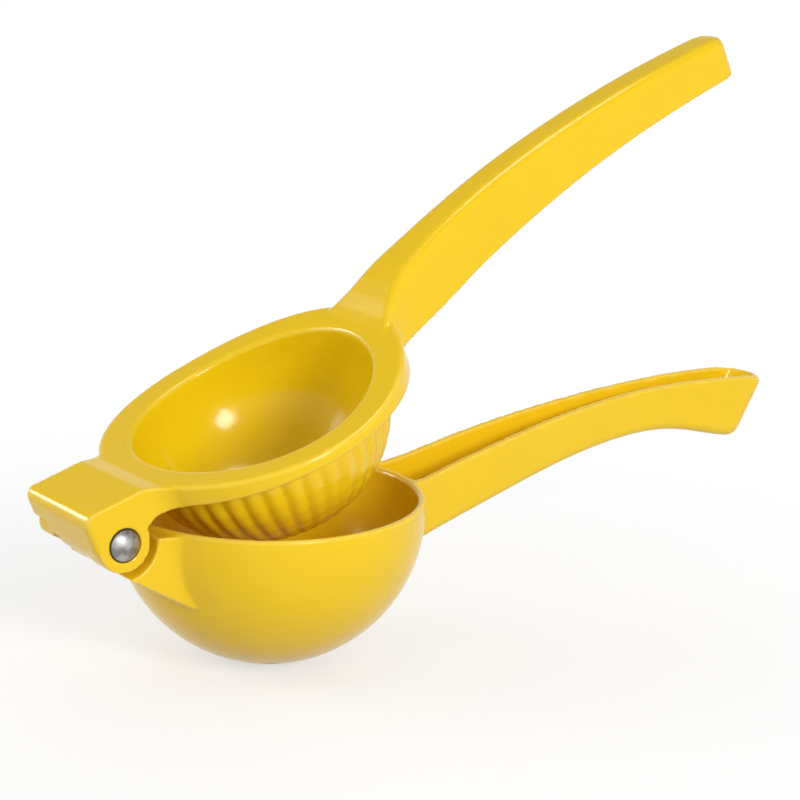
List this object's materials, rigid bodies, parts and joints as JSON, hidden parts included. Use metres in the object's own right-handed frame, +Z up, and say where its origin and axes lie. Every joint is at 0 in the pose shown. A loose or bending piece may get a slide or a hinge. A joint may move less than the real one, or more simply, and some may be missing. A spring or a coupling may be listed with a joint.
{
  "type": "hinged lemon squeezer",
  "caption": "Hinged hand squeezer for lemons: a ribbed bowl on one channel handle presses fruit into a strainer cup on the other, riveted at the nose.",
  "frame": {"origin": "middle of the small flat under the cup, on which the cup stands", "axes": "+Z up out of the cup, +X along the cup's handle, away from the rivet; the rivet lies along Y"},
  "size_m": [0.2185, 0.0764, 0.1444],
  "materials": {
    "cup_enamel": "glossy yellow enamel over cast aluminium",
    "press_enamel": "glossy yellow enamel over cast aluminium",
    "rivet_steel": "satin"
  },
  "bodies": {
    "cup_arm": {"cup_arm": "cup_enamel"},
    "press_arm": {"press_arm": "press_enamel", "hinge_pin": "rivet_steel"}
  },
  "joints": [
    {"name": "press_hinge", "type": "hinge", "parent": "cup_arm", "child": "press_arm", "pos_m": [-0.048, 0, 0.03957], "axis": [0, -1, 0], "range_deg": [-22, 58]}
  ]
}
